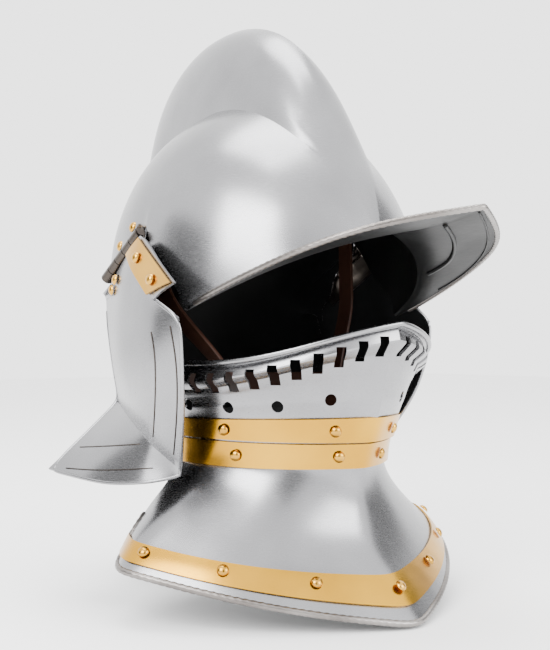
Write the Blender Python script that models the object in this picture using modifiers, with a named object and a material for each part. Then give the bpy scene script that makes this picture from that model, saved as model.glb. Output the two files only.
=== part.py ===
"""A burgonet: an open helmet with a tall comb, a long peak and hinged cheek pieces,
worn with a falling buffe that guards the chin and neck.

Units are metres, +Z is up and the wearer faces -Y. The origin is the middle of the
skull's hollow, where a head seats the helmet. Armour plates are open surfaces with a
Solidify wall; a table of sections gives each surface as shares of the named sizes.
"""
import math

import bmesh
import bpy
from mathutils import Matrix, Vector
from mathutils.bvhtree import BVHTree

# Skull, in its own frame: the base plane is level there, and the helmet tips back by PITCH
SKULL_HALF_LENGTH = 0.124
SKULL_HALF_WIDTH = 0.104
SKULL_HALF_HEIGHT = 0.139
BASE_BELOW_CENTRE = 0.028
PITCH = math.radians(19.9)
WALL = 0.0016
COMB_HEIGHT = 0.0687
COMB_HALF_WIDTH = 0.033
PEAK_DROP = 0.020
EAR_ARCH_CLEAR = 0.009
NAPE_DROP = 0.081
NAPE_REACH = 0.147

# Cheek pieces and their hinges
CHEEK_HALF_WIDTH = 0.104
CHEEK_HALF_LENGTH = 0.124
CHEEK_DROP = 0.130
HINGE_OUT = 0.1040
HINGE_FRONT = (0.0010, 0.0376)
HINGE_REAR = (0.0440, 0.0083)
BARREL_RADIUS = 0.0045
PIN_RADIUS = 0.0030
LEAF_THICKNESS = 0.0012
LEAF_DEPTH = 0.013
# Along the barrel from its middle: share for a rivet of the upper leaf, and of the lower leaf
HINGE_RIVETS = ((-0.28, 0.20), (0.12, 0.42))
KNUCKLES = 5
LEAF_CURL = math.radians(300)
LEAF_CURL_STEPS = 7

# Buffe and gorget
BUFFE_REACH = 0.138
BUFFE_HALF_WIDTH = 0.092
GORGET_DROP = 0.2055
FRONT_REAR = 0.029
REAR_DRAW = 0.086
BRASS_THICKNESS = 0.0012
SLOT_WIDTH = 0.0062
SLOT_HEIGHT = 0.0125
SLOT_PITCH = 0.0150
SLOT_START = 0.0115
SLOT_BELOW_LIP = 0.0130
SLOTS_PER_SIDE = 10
BREATH_RADIUS = 0.0038

# Fastenings and straps
RIVET_RADIUS = 0.0038
RIVET_HEIGHT = 0.0024
GAP = 0.0003
BAND_GAP = 0.0004
STRAP_WIDTH = 0.014
STRAP_THICKNESS = 0.0024
NAPE_STRAP_WIDTH = 0.016

# Comb height along the crown: angle from the brow over the top in degrees, share of COMB_HEIGHT
COMB_PROFILE = (
    (14, 0.0), (22, 0.03), (30, 0.12), (38, 0.28), (48, 0.49), (60, 0.73), (74, 0.91),
    (90, 1.0), (104, 0.92), (123, 0.63), (143, 0.28), (160, 0.05), (174, 0.0),
)
# Half width of the comb's foot along the crown: angle as above, share of COMB_HALF_WIDTH
COMB_FOOT = (
    (0, 0.10), (6, 0.13), (9, 0.30), (13, 0.48), (18, 0.58), (23, 0.69), (28, 0.80), (33, 0.89),
    (39, 0.93), (49, 0.99), (60, 1.0), (100, 0.95), (123, 0.75), (143, 0.58), (160, 0.42), (174, 0.30),
    (192, 0.20),
)
# Half of a comb section: share of the base half width, share of the height there
COMB_SECTION = (
    (0.0, 1.0), (0.26, 0.94), (0.50, 0.83), (0.74, 0.60), (0.90, 0.32), (1.0, 0.0),
)
# Side rim of the skull in its level frame: share of the way from the temple to behind the
# ear, distance back, height above the middle
EAR_ARCH = (
    (0.0, -0.0340, -0.0280), (0.10, -0.0325, -0.0120), (0.25, -0.0184, 0.0114),
    (0.35, -0.0142, 0.0350), (0.40, -0.0112, 0.0439), (0.75, 0.0383, 0.0316),
    (0.80, 0.0440, 0.0265), (0.85, 0.0470, 0.0180), (0.92, 0.0475, 0.0), (1.0, 0.0470, -0.0280),
)
# Rim of the peak from its point to the temple: shares of the half width and half length
PEAK_RIM = (
    (0.0, 1.663), (0.20, 1.585), (0.394, 1.474), (0.587, 1.350), (0.724, 1.190),
    (0.823, 0.992), (0.907, 0.730), (0.950, 0.520), (0.953, 0.375),
)
PEAK_STEPS = (1.0, 0.80, 0.55, 0.32, 0.14)
# Nape below the base plane: middle back, middle drop, side out, side back, side drop
# as shares of NAPE_REACH, NAPE_DROP and SKULL_HALF_WIDTH
NAPE_ROWS = (
    (0.806, 0.52, 0.870, 0.408, 0.52),
    (0.776, 0.68, 0.827, 0.422, 0.68),
    (0.816, 0.77, 0.856, 0.456, 0.77),
    (0.912, 0.89, 0.933, 0.517, 0.88),
    (1.0, 1.0, 1.010, 0.571, 0.98),
)
# Cheek piece from the hinge down. Each row runs from the front edge to the rear edge as
# (out, back, up): shares of CHEEK_HALF_WIDTH, CHEEK_HALF_LENGTH and CHEEK_DROP
CHEEK_ROWS = (
    # front            border line        middle             shoulder           rear
    ((1.173, -0.521, 0.006), (1.125, -0.323, 0.118), (1.053, -0.061, 0.265),
     (1.034, 0.137, 0.146), (0.985, 0.400, -0.020)),
    ((1.173, -0.335, -0.071), (1.154, -0.242, -0.023), (1.111, -0.065, 0.092),
     (1.067, 0.137, 0.031), (0.900, 0.500, -0.046)),
    ((1.119, -0.486, -0.157), (1.168, -0.303, -0.167), (1.139, -0.094, -0.159),
     (1.072, 0.148, -0.159), (0.918, 0.463, -0.175)),
    ((1.096, -0.485, -0.313), (1.159, -0.303, -0.313), (1.135, -0.094, -0.313),
     (1.058, 0.165, -0.313), (0.894, 0.463, -0.313)),
    ((1.058, -0.451, -0.490), (1.130, -0.283, -0.482), (1.101, -0.069, -0.475),
     (1.024, 0.173, -0.459), (0.865, 0.463, -0.452)),
    ((0.990, -0.374, -0.675), (1.058, -0.215, -0.659), (1.043, -0.037, -0.628),
     (0.976, 0.181, -0.582), (0.841, 0.463, -0.536)),
    ((0.870, -0.210, -0.915), (0.976, -0.094, -0.805), (0.990, 0.035, -0.728),
     (0.947, 0.213, -0.659), (0.837, 0.463, -0.598)),
    ((0.866, -0.208, -0.930), (1.000, -0.098, -0.905), (1.067, 0.076, -0.863),
     (1.091, 0.277, -0.821), (1.058, 0.527, -0.782)),
    ((0.862, -0.206, -0.946), (1.019, -0.110, -0.975), (1.149, 0.116, -0.994),
     (1.226, 0.310, -0.978), (1.279, 0.592, -0.955)),
)
CHEEK_FOLD_ROW = 6
# Corners of the brass plate on the cheek piece's front tongue: back, up (as above)
EAR_PLATE = ((-0.500, 0.005), (-0.068, 0.250), (0.062, 0.172), (-0.275, -0.043))
# Front guard from the lip of the upper lame down to the rim of the gorget:
# drop and reach in the middle, half width, side setback, side drop, two curve weights;
# shares of GORGET_DROP, BUFFE_REACH, BUFFE_HALF_WIDTH, BUFFE_REACH and GORGET_DROP
FRONT_ROWS = (
    ("lip", 0.115, 1.000, 1.000, 0.178, 0.240, 0.90, 0.85),
    ("plate", 0.204, 0.969, 0.989, 0.178, 0.325, 0.90, 0.84),
    ("waist", 0.334, 0.903, 0.935, 0.171, 0.378, 0.88, 0.80),
    ("band_top", 0.410, 0.867, 0.897, 0.157, 0.419, 0.87, 0.78),
    ("band_middle", 0.493, 0.820, 0.880, 0.142, 0.481, 0.87, 0.78),
    ("band_low", 0.578, 0.783, 0.886, 0.142, 0.563, 0.87, 0.78),
    ("neck", 0.648, 0.778, 0.978, 0.157, 0.617, 0.88, 0.80),
    ("spring", 0.714, 0.793, 1.098, 0.164, 0.660, 0.90, 0.80),
    ("flare", 0.782, 0.843, 1.228, 0.186, 0.704, 0.88, 0.76),
    ("fall", 0.849, 0.925, 1.359, 0.214, 0.748, 0.84, 0.71),
    ("border", 0.909, 1.019, 1.467, 0.243, 0.789, 0.80, 0.67),
    ("rim", 1.000, 1.143, 1.566, 0.259, 0.842, 0.758, 0.637),
)
# Relief down the upper lame: row position, share of RELIEF that it stands out or in
RELIEF = 0.0030
LAME_RELIEF = (
    (0.0, 0.6), (0.10, 0.0), (0.22, -0.7), (0.38, -0.2), (0.55, 0.35), (0.75, 0.30),
    (0.92, -0.1), (1.05, -0.9), (1.2, -1.0), (1.6, -1.0), (2.2, -0.6),
)
# Breaths on each side: distance along the lip from the middle, drop below the lip
BREATHS = ((0.0455, 0.0390), (0.087, 0.0330), (0.125, 0.0290), (0.159, 0.0275))
# Rivets along the bands and the border: distance from the middle
UPPER_BAND_RIVETS = (-0.102, -0.028, 0.028, 0.102)
LOWER_BAND_RIVETS = (-0.088, -0.020, 0.020, 0.088)
BORDER_RIVETS = (-0.166, -0.114, -0.056, 0.0, 0.056, 0.114, 0.166)
# Chin strap's middle line: out, back, up in metres, chosen by eye along its hang
CHIN_STRAP_ROUTE = (
    (0.0868, 0.0080, 0.0660), (0.0900, 0.0060, 0.0470), (0.0880, 0.0030, 0.0150), (0.0870, 0.0020, -0.0120),
    (0.0780, 0.0030, -0.0450), (0.0600, -0.0080, -0.0780), (0.0320, -0.0280, -0.1020),
    (0.0, -0.0460, -0.1090), (-0.0330, -0.0560, -0.0980), (-0.0580, -0.0540, -0.0740),
    (-0.0740, -0.0400, -0.0440), (-0.0860, -0.0080, -0.0120), (-0.0880, 0.0030, 0.0150),
    (-0.0900, 0.0060, 0.0470), (-0.0868, 0.0080, 0.0660),
)
# Nape strap: level it keeps, how far inside the lame and the nape it runs, how far back its
# ends are seated, and the turns from the left side at which it passes the nape
NAPE_STRAP_LEVEL = -0.0680
NAPE_STRAP_CLEAR = 0.0036
NAPE_STRAP_HANG = 0.0065
NAPE_STRAP_SEATS = (-0.0130, 0.0030)
NAPE_STRAP_TURNS = (28, 45, 65, 90, 115, 135, 152)

FRONT_COLUMNS = 11
REAR_STEPS = 2
PARTS = None
CUTTERS = None


def clear_scene():
    for obj in list(bpy.data.objects):
        bpy.data.objects.remove(obj, do_unlink=True)


def make_collection(name):
    collection = bpy.data.collections.new(name)
    bpy.context.scene.collection.children.link(collection)
    return collection


def make_material(name, colour, metallic, roughness):
    material = bpy.data.materials.new(name)
    material.use_nodes = True
    shader = material.node_tree.nodes["Principled BSDF"]
    shader.inputs["Base Color"].default_value = (*colour, 1.0)
    shader.inputs["Metallic"].default_value = metallic
    shader.inputs["Roughness"].default_value = roughness
    return material


def steel(name):
    return make_material(name, (0.56, 0.56, 0.58), 1.0, 0.28)


def brass(name):
    return make_material(name, (0.83, 0.60, 0.24), 1.0, 0.25)


def leather(name):
    return make_material(name, (0.055, 0.022, 0.014), 0.0, 0.55)


def catmull(points, position):
    """Point at a row position, counted from 0, on a smooth curve through the points."""
    last = len(points) - 1
    start = min(int(position), last - 1)
    t = position - start
    before = points[max(start - 1, 0)]
    after = points[min(start + 2, last)]
    result = []
    for a, b, c, d in zip(before, points[start], points[start + 1], after):
        slope_in, slope_out = (c - a) / 2, (d - b) / 2
        result.append(
            (2 * t**3 - 3 * t**2 + 1) * b + (t**3 - 2 * t**2 + t) * slope_in
            + (3 * t**2 - 2 * t**3) * c + (t**3 - t**2) * slope_out)
    return result


def straight(table, key):
    """Value at key in a table of (key, value) rows, joined by straight lines."""
    if key <= table[0][0]:
        return table[0][1]
    for (k0, v0), (k1, v1) in zip(table, table[1:]):
        if key <= k1:
            return v0 + (v1 - v0) * (key - k0) / (k1 - k0)
    return table[-1][1]


def tipped(point):
    """From the skull's level frame to the helmet's, tipped back by PITCH."""
    x, y, z = point
    return Vector((x, y * math.cos(PITCH) + z * math.sin(PITCH),
                   -y * math.sin(PITCH) + z * math.cos(PITCH)))


def mirrored(rows):
    return [[Vector((-p.x, p.y, p.z)) for p in row] for row in rows]


def grid_mesh(name, rows, inside):
    """Quads between rows of points, facing away from the point called inside."""
    width = len(rows[0])
    points = [p for row in rows for p in row]
    faces = [
        (i * width + j, (i + 1) * width + j, (i + 1) * width + j + 1, i * width + j + 1)
        for i in range(len(rows) - 1) for j in range(width - 1)]
    outward = 0.0
    for a, b, c, d in faces:
        normal = (points[c] - points[a]).cross(points[d] - points[b])
        outward += normal.dot(points[a] - Vector(inside))
    if outward < 0:
        faces = [tuple(reversed(face)) for face in faces]
    mesh = bpy.data.meshes.new(name)
    mesh.from_pydata(points, [], faces)
    return mesh


def add_object(name, mesh, material, collection=None):
    obj = bpy.data.objects.new(name, mesh)
    (collection or PARTS).objects.link(obj)
    if material:
        mesh.materials.clear()
        mesh.materials.append(material)
    return obj


def sheet(name, rows, wall, material, inside=(0, 0, 0)):
    """A plate whose outer face runs through the rows, with its wall inside."""
    mesh = grid_mesh(name, rows, inside)
    mesh.shade_smooth()
    obj = add_object(name, mesh, material)
    solid = obj.modifiers.new("Wall", "SOLIDIFY")
    solid.thickness = wall
    solid.offset = -1.0
    solid.use_even_offset = False
    return obj


def surface_of(rows, inside=(0, 0, 0)):
    """Search tree over the faces of a sheet's outer surface."""
    mesh = grid_mesh("search", rows, inside)
    tree = BVHTree.FromPolygons([v.co for v in mesh.vertices], [p.vertices for p in mesh.polygons])
    bpy.data.meshes.remove(mesh)
    return tree


def seat_on(tree, origin, direction):
    """Where a ray meets a surface, with the normal turned back along the ray."""
    place, normal, _, _ = tree.ray_cast(Vector(origin), Vector(direction).normalized())
    if normal.dot(Vector(direction)) > 0:
        normal = -normal
    return place, normal


# Skull

def comb_height(angle):
    return COMB_HEIGHT * max(0.0, straight(COMB_PROFILE, math.degrees(angle)))


def comb_half_width(angle):
    return COMB_HALF_WIDTH * straight(COMB_FOOT, math.degrees(angle))


def ear_arch(share):
    """Unit direction of the skull's side rim, share 0 at the temple to 1 behind the ear."""
    y = straight([(at, back) for at, back, _ in EAR_ARCH], share) / SKULL_HALF_LENGTH
    z = straight([(at, up) for at, _, up in EAR_ARCH], share) / SKULL_HALF_HEIGHT
    return Vector((math.sqrt(1 - y * y - z * z), y, z))


def column_shares(middle, side, half_width):
    """Shares of the way round from the crown to the side rim for one skull row."""
    span = middle.angle(side)
    comb = [math.asin(min(1.0, share * half_width / SKULL_HALF_WIDTH / side.x * math.sin(span)))
            / span for share, _ in COMB_SECTION]
    rest = [comb[-1] + (1 - comb[-1]) * (k / DOME_COLUMNS) ** 0.9 for k in range(1, DOME_COLUMNS + 1)]
    return comb + rest


DOME_ROWS = 20
DOME_COLUMNS = 6


def dome_row(share):
    """One half row over the dome and comb in the level frame, with its column shares."""
    base = math.asin(BASE_BELOW_CENTRE / SKULL_HALF_HEIGHT)
    angle = (math.pi + base) * share
    middle = Vector((0, -math.cos(angle), math.sin(angle)))
    side = ear_arch(share)
    shares = column_shares(middle, side, comb_half_width(angle))
    height = comb_height(angle)
    outward = Vector((0, -math.cos(angle) / SKULL_HALF_LENGTH,
                      math.sin(angle) / SKULL_HALF_HEIGHT)).normalized()
    row = []
    for index, portion in enumerate(shares):
        unit = middle.slerp(side, portion)
        point = Vector((unit.x * SKULL_HALF_WIDTH, unit.y * SKULL_HALF_LENGTH,
                        unit.z * SKULL_HALF_HEIGHT))
        if index < len(COMB_SECTION):
            point += outward * height * COMB_SECTION[index][1]
        row.append(point)
    return row, shares


def peak_rows(brow, shares):
    """Rows from the rim of the peak back to the brow row of the dome."""
    rim = []
    for portion in shares:
        out, fore = catmull(PEAK_RIM, portion * (len(PEAK_RIM) - 1))
        rim.append(Vector((out * SKULL_HALF_WIDTH, -fore * SKULL_HALF_LENGTH, -BASE_BELOW_CENTRE)))
    rows = []
    for t in PEAK_STEPS:
        row = []
        for start, end in zip(brow, rim):
            bend = start.lerp(end, 0.10)
            bend.z = start.z + (end.z - start.z) * PEAK_DROP / BASE_BELOW_CENTRE
            row.append(start * (1 - t) ** 2 + bend * 2 * t * (1 - t) + end * t * t)
        rows.append(row)
    return rows


def nape_row(back, drop, out, side_back, side_drop, shares):
    """One half row of the nape: an ellipse arc from the middle round to the side."""
    sweep = math.radians(70)
    middle = back * NAPE_REACH
    side = side_back * NAPE_REACH
    centre = (side - middle * math.cos(sweep)) / (1 - math.cos(sweep))
    reach = out * SKULL_HALF_WIDTH / math.sin(sweep)
    row = []
    for portion in shares:
        turn = sweep * portion
        level = drop + (side_drop - drop) * portion
        row.append(Vector((reach * math.sin(turn), centre + (middle - centre) * math.cos(turn),
                           -level * NAPE_DROP)))
    return row


def skull_rows():
    halves = [dome_row(k / DOME_ROWS) for k in range(DOME_ROWS + 1)]
    rows = peak_rows(*halves[0]) + [row for row, _ in halves]
    rows += [nape_row(*section, halves[-1][1]) for section in NAPE_ROWS]
    full = []
    for row in rows:
        left = [Vector((-p.x, p.y, p.z)) for p in reversed(row[1:])]
        full.append([tipped(p) for p in left + row])
    return full


# Cheek pieces

def cheek_point(row, column):
    """Point on the cheek piece's outer face, on the wearer's right."""
    fold = CHEEK_FOLD_ROW
    part = CHEEK_ROWS[:fold + 1] if row <= fold else CHEEK_ROWS[fold:]
    place = row if row <= fold else row - fold
    lines = [catmull(section, column) for section in part]
    out, back, up = catmull(lines, place)
    return Vector((-out * CHEEK_HALF_WIDTH, back * CHEEK_HALF_LENGTH, up * CHEEK_DROP))


def cheek_rows():
    places = [0, 0.5, 1, 1.5, 2, 2.66, 3.33, 4, 4.66, 5.33, 6, 6.4, 7, 8]
    columns = [0, 0.5, 1, 1.33, 1.66, 2, 2.4, 2.8, 3.2, 3.6, 4]
    return [[cheek_point(place, column) for column in columns] for place in places]


def ear_plate_rows(tree):
    """Brass plate laid on the tongue: a patch between four corners, seated by rays."""
    corners = [Vector((0, back * CHEEK_HALF_LENGTH, up * CHEEK_DROP)) for back, up in EAR_PLATE]
    front_top, rear_top, rear_low, front_low = corners
    rows = []
    for i in range(4):
        a = front_top.lerp(front_low, i / 3)
        b = rear_top.lerp(rear_low, i / 3)
        row = []
        for j in range(6):
            aim = a.lerp(b, j / 5)
            place, normal = seat_on(tree, (-1, aim.y, aim.z), (1, 0, 0))
            row.append(place + normal * (2 * GAP + BRASS_THICKNESS))
        rows.append(row)
    return rows


# Hinges

def hinge_frame(side):
    """Matrix whose Z runs along the barrel to the rear and whose X points outward."""
    front = Vector((side * HINGE_OUT, *HINGE_FRONT))
    rear = Vector((side * HINGE_OUT, *HINGE_REAR))
    along = (rear - front).normalized()
    outward = Vector((side, 0, 0))
    across = along.cross(outward)
    matrix = Matrix((outward, across, along)).transposed().to_4x4()
    matrix.translation = (front + rear) / 2
    return matrix, (rear - front).length


def cylinder(name, radius, start, end, frame, collection=None, sides=12, material=None):
    mesh = bpy.data.meshes.new(name)
    bm = bmesh.new()
    bmesh.ops.create_cone(bm, cap_ends=True, segments=sides, radius1=radius, radius2=radius,
                          depth=end - start)
    bmesh.ops.translate(bm, verts=bm.verts, vec=(0, 0, (start + end) / 2))
    bm.transform(frame)
    bm.to_mesh(mesh)
    bm.free()
    return add_object(name, mesh, material, collection)


def hide_cutter(obj):
    obj.hide_render = True
    obj.display_type = "WIRE"
    return obj


def boolean(target, tool, operation):
    modifier = target.modifiers.new(operation.title(), "BOOLEAN")
    modifier.object = tool
    modifier.operation = operation
    modifier.solver = "EXACT"


def hinge_leaf(name, way, seats, own, frame, length):
    """A leaf of sheet, curled round the pin at every second knuckle and flat behind its plate.

    way is +1 where the leaf goes up from the barrel and -1 where it hangs down.
    """
    centre_line = BARREL_RADIUS - LEAF_THICKNESS / 2
    edges = []
    for k in range(KNUCKLES):
        start, end = length * (k / KNUCKLES - 0.5), length * ((k + 1) / KNUCKLES - 0.5)
        edges += [start + GAP, end - GAP]
    curl = []
    for k in range(LEAF_CURL_STEPS + 1):
        turn = math.pi + LEAF_CURL * k / LEAF_CURL_STEPS
        curl.append((centre_line * math.cos(turn), way * centre_line * math.sin(turn)))
    curl.reverse()
    curl.append((-centre_line, way * (BARREL_RADIUS + 3 * GAP)))
    rows = [[frame @ Vector((x, y, along)) for along in edges] for x, y in curl]
    low = [catmull([pair[0] for pair in seats], (along / length + 0.5) * (len(seats) - 1))
           for along in edges]
    high = [catmull([pair[1] for pair in seats], (along / length + 0.5) * (len(seats) - 1))
            for along in edges]
    rows += [[Vector(p) for p in low], [Vector(p) for p in high]]
    width = len(edges)
    points = [p for row in rows for p in row]
    faces = []
    for i in range(len(rows) - 1):
        for j in range(width - 1):
            if i < len(curl) - 1 and (j % 2 or (j // 2) % 2 != own):
                continue
            faces.append((i * width + j, (i + 1) * width + j,
                          (i + 1) * width + j + 1, i * width + j + 1))
    bm = bmesh.new()
    verts = [bm.verts.new(p) for p in points]
    for face in faces:
        bm.faces.new([verts[k] for k in face])
    bmesh.ops.delete(bm, geom=[v for v in bm.verts if not v.link_faces], context="VERTS")
    mesh = bpy.data.meshes.new(name)
    bm.to_mesh(mesh)
    bm.free()
    leaf = add_object(name, mesh, steel(name))
    solid = leaf.modifiers.new("Wall", "SOLIDIFY")
    solid.thickness = LEAF_THICKNESS
    solid.offset = 0.0
    solid.use_even_offset = False
    return leaf


# Front guard

def front_curve(place):
    """Full row of the front guard's master surface at a row position."""
    values = catmull([row[1:] for row in FRONT_ROWS], place)
    drop, reach, width, setback, side_drop, weight_out, weight_fore = values
    mid = Vector((0, -reach * BUFFE_REACH, -drop * GORGET_DROP))
    side = Vector((width * BUFFE_HALF_WIDTH, -setback * BUFFE_REACH, -side_drop * GORGET_DROP))
    bend = Vector((weight_out * side.x, side.y + weight_fore * (mid.y - side.y), 0))
    span = mid.y - side.y
    level = 3.0 - 0.9 * min(place, 2.0)
    half = []
    for k in range(FRONT_COLUMNS + 1):
        t = k / FRONT_COLUMNS
        point = mid * (1 - t) ** 2 + bend * 2 * t * (1 - t) + side * t * t
        share = (point.y - side.y) / span
        point.z = side.z + (mid.z - side.z) * max(share, 0.0) ** level
        half.append(point)
    for k in range(1, REAR_STEPS + 1):
        t = k / REAR_STEPS
        half.append(Vector((side.x * (1 - REAR_DRAW * t * t), side.y + FRONT_REAR * t, side.z)))
    return [Vector((-p.x, p.y, p.z)) for p in reversed(half[1:])] + half


def raised(rows, distances, inside):
    """Rows moved along their surface's normals, one distance for each row."""
    mesh = grid_mesh("normals", rows, inside)
    normals = [Vector(v.normal) for v in mesh.vertices]
    bpy.data.meshes.remove(mesh)
    width = len(rows[0])
    return [[p + normals[i * width + j] * distance for j, p in enumerate(row)]
            for i, (row, distance) in enumerate(zip(rows, distances))]


def front_rows(places, depth, relief=None):
    """Outer face of one plate of the front guard, a depth outside the master surface."""
    rows = [front_curve(place) for place in places]
    distances = [depth + (RELIEF * straight(relief, place) if relief else 0.0) for place in places]
    return raised(rows, distances, (0, 0, rows[0][0].z))


def front_sheet(name, rows, wall, material):
    return sheet(name, rows, wall, material, inside=(0, 0, rows[0][0].z))


def spread(start, end, count):
    return [start + (end - start) * k / (count - 1) for k in range(count)]


def along_front(row, distance):
    """Point and outward direction on a front row at an arc distance from its middle."""
    half = row[len(row) // 2:]
    gone = 0.0
    for a, b in zip(half, half[1:]):
        step = (b - a).length
        if gone + step >= abs(distance):
            point = a.lerp(b, (abs(distance) - gone) / step)
            along = (b - a).normalized()
            outward = Vector((-along.y, along.x, 0)).normalized() * -1
            if outward.y > 0 and outward.x < 0:
                outward = -outward
            break
        gone += step
    sign = -1 if distance < 0 else 1
    return Vector((sign * point.x, point.y, point.z)), Vector((sign * outward.x, outward.y, 0))


def facing_frame(point, outward):
    """Matrix at a point whose Z looks outward and whose Y is as upright as it can be."""
    z = outward.normalized()
    x = Vector((0, 0, 1)).cross(z).normalized()
    y = z.cross(x)
    matrix = Matrix((x, y, z)).transposed().to_4x4()
    matrix.translation = point
    return matrix


def lame_cutters(lip):
    """Slots under the lip and round breaths in the plate, all in one cutter."""
    bm = bmesh.new()
    for side in (-1, 1):
        for k in range(SLOTS_PER_SIDE):
            distance = side * (SLOT_START + SLOT_PITCH * k)
            point, outward = along_front(lip, distance)
            point.z -= SLOT_BELOW_LIP
            frame = facing_frame(point, outward)
            size = Matrix.Diagonal((SLOT_WIDTH, SLOT_HEIGHT, 0.016, 1))
            bmesh.ops.create_cube(bm, size=1.0, matrix=frame @ size)
        for distance, below in BREATHS:
            point, outward = along_front(lip, side * distance)
            point.z -= below
            bmesh.ops.create_cone(bm, cap_ends=True, segments=12, radius1=BREATH_RADIUS,
                                  radius2=BREATH_RADIUS, depth=0.05,
                                  matrix=facing_frame(point, outward))
    mesh = bpy.data.meshes.new("lame_cuts")
    bm.to_mesh(mesh)
    bm.free()
    return hide_cutter(add_object("lame_cuts", mesh, None, CUTTERS))


# Fastenings

def rivet_mesh():
    """Half profile of a domed rivet head, to be turned by a Screw modifier."""
    steps = 2
    points = [(RIVET_RADIUS * math.sin(math.pi / 2 * k / steps), 0,
               RIVET_HEIGHT * math.cos(math.pi / 2 * k / steps)) for k in range(steps + 1)]
    points.append((0, 0, 0))
    mesh = bpy.data.meshes.new("rivet_profile")
    mesh.from_pydata(points, [(k, k + 1) for k in range(len(points) - 1)], [])
    return mesh


def add_rivet(name, tree, origin, direction, profile):
    """A rivet head standing a gap off the highest spot of the surface under its rim."""
    place, normal = seat_on(tree, origin, direction)
    side = normal.orthogonal().normalized()
    lift = 0.0
    for k in range(8):
        spoke = Matrix.Rotation(math.pi / 4 * k, 3, normal) @ side
        above = place + spoke * RIVET_RADIUS + normal * RIVET_RADIUS
        hit = tree.ray_cast(above, -normal)[0]
        if hit:
            lift = max(lift, (hit - place).dot(normal))
    obj = bpy.data.objects.new(name, profile.copy())
    PARTS.objects.link(obj)
    obj.data.materials.append(brass(name))
    turn = obj.modifiers.new("Turn", "SCREW")
    turn.axis = "Z"
    turn.steps = turn.render_steps = 8
    turn.use_merge_vertices = True
    turn.merge_threshold = 0.00001
    turn.use_smooth_shade = True
    obj.rotation_mode = "QUATERNION"
    obj.rotation_quaternion = Vector((0, 0, 1)).rotation_difference(normal)
    obj.location = place + normal * (lift + GAP)
    return obj


def ribbon(name, route, width, thickness, material, lean):
    """A strap: a flat section carried along a smooth route, its face turned by lean."""
    count = (len(route) - 1) * 2
    points = [Vector(catmull(route, k / 2)) for k in range(count + 1)]
    rings = []
    for k, point in enumerate(points):
        along = (points[min(k + 1, count)] - points[max(k - 1, 0)]).normalized()
        face = Vector(lean(point))
        face = (face - along * face.dot(along)).normalized()
        across = along.cross(face)
        ring = [point + across * width / 2 * a + face * thickness / 2 * b
                for a, b in ((-1, -1), (1, -1), (1, 1), (-1, 1))]
        rings.append(ring)
    bm = bmesh.new()
    verts = [[bm.verts.new(p) for p in ring] for ring in rings]
    for a, b in zip(verts, verts[1:]):
        for i in range(4):
            j = (i + 1) % 4
            bm.faces.new((a[i], a[j], b[j], b[i]))
    bm.faces.new(reversed(verts[0]))
    bm.faces.new(verts[-1])
    bmesh.ops.recalc_face_normals(bm, faces=bm.faces)
    mesh = bpy.data.meshes.new(name)
    bm.to_mesh(mesh)
    bm.free()
    return add_object(name, mesh, material)


def build_cheek(side, label, skull_tree, profile):
    rows = cheek_rows() if side < 0 else mirrored(cheek_rows())
    name = f"cheek_piece_{label}"
    sheet(name, rows, WALL, steel(name), inside=(0, 0, 0))
    right_tree = surface_of(cheek_rows())
    plate = ear_plate_rows(right_tree)
    plate = plate if side < 0 else mirrored(plate)
    name = f"ear_plate_{label}"
    sheet(name, plate, BRASS_THICKNESS, brass(name), inside=(0, 0, 0))
    cheek_tree = surface_of(rows)
    plate_tree = surface_of(plate)

    frame, length = hinge_frame(side)
    along = frame.to_3x3() @ Vector((0, 0, 1))
    down = along.cross(Vector((side, 0, 0)))
    if down.z > 0:
        down = -down
    up_way = -1 if (frame.to_3x3() @ Vector((0, 1, 0))).dot(down) > 0 else 1
    seats_up, seats_down = [], []
    for k in range(7):
        spot = frame @ Vector((0, 0, length * (k / 6 - 0.5)))
        for seats, way, tree, clear, slack in ((seats_up, -1, skull_tree, 0.0012, 0.0042),
                                               (seats_down, 1, cheek_tree, 0.0008, 0.0)):
            pair = []
            for reach, back_off in ((EAR_ARCH_CLEAR + 0.001, slack), (LEAF_DEPTH + 0.004, 0.0)):
                aim = spot + down * way * reach
                place, normal = seat_on(tree, (side, aim.y, aim.z), (-side, 0, 0))
                pair.append(place - normal * (WALL + clear + LEAF_THICKNESS / 2)
                            - down * way * back_off)
            seats.append(tuple(pair))
    hinge_leaf(f"hinge_upper_leaf_{label}", up_way, seats_up, 0, frame, length)
    hinge_leaf(f"hinge_lower_leaf_{label}", -up_way, seats_down, 1, frame, length)
    name = f"hinge_pin_{label}"
    cylinder(name, PIN_RADIUS, -length / 2 - 0.0006, length / 2 + 0.0006, frame,
             material=steel(name))

    for number, (share_up, share_low) in enumerate(HINGE_RIVETS, 1):
        up = frame @ Vector((0, 0, length * share_up)) - down * (EAR_ARCH_CLEAR + 0.0050)
        low = frame @ Vector((0, 0, length * share_low)) + down * (EAR_ARCH_CLEAR + 0.0035)
        add_rivet(f"rivet_hinge_upper_{label}_{number}", skull_tree, (side, up.y, up.z),
                  (-side, 0, 0), profile)
        add_rivet(f"rivet_hinge_lower_{label}_{number}", cheek_tree, (side, low.y, low.z),
                  (-side, 0, 0), profile)
    corners = [Vector((0, back * CHEEK_HALF_LENGTH, up * CHEEK_DROP)) for back, up in EAR_PLATE]
    front = (corners[0] + corners[3]) / 2
    rear = (corners[1] + corners[2]) / 2
    for number, share in enumerate((0.20, 0.72), 1):
        aim = front.lerp(rear, share)
        add_rivet(f"rivet_ear_{label}_{number}", plate_tree, (side, aim.y, aim.z), (-side, 0, 0),
                  profile)


def band_rivets(label, rows, distances, profile):
    tree = surface_of(rows, (0, 0, rows[0][0].z))
    middle = rows[len(rows) // 2]
    for number, distance in enumerate(distances, 1):
        point, outward = along_front(middle, distance)
        add_rivet(f"rivet_{label}_{number}", tree, point + outward * 0.05, -outward, profile)


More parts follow.
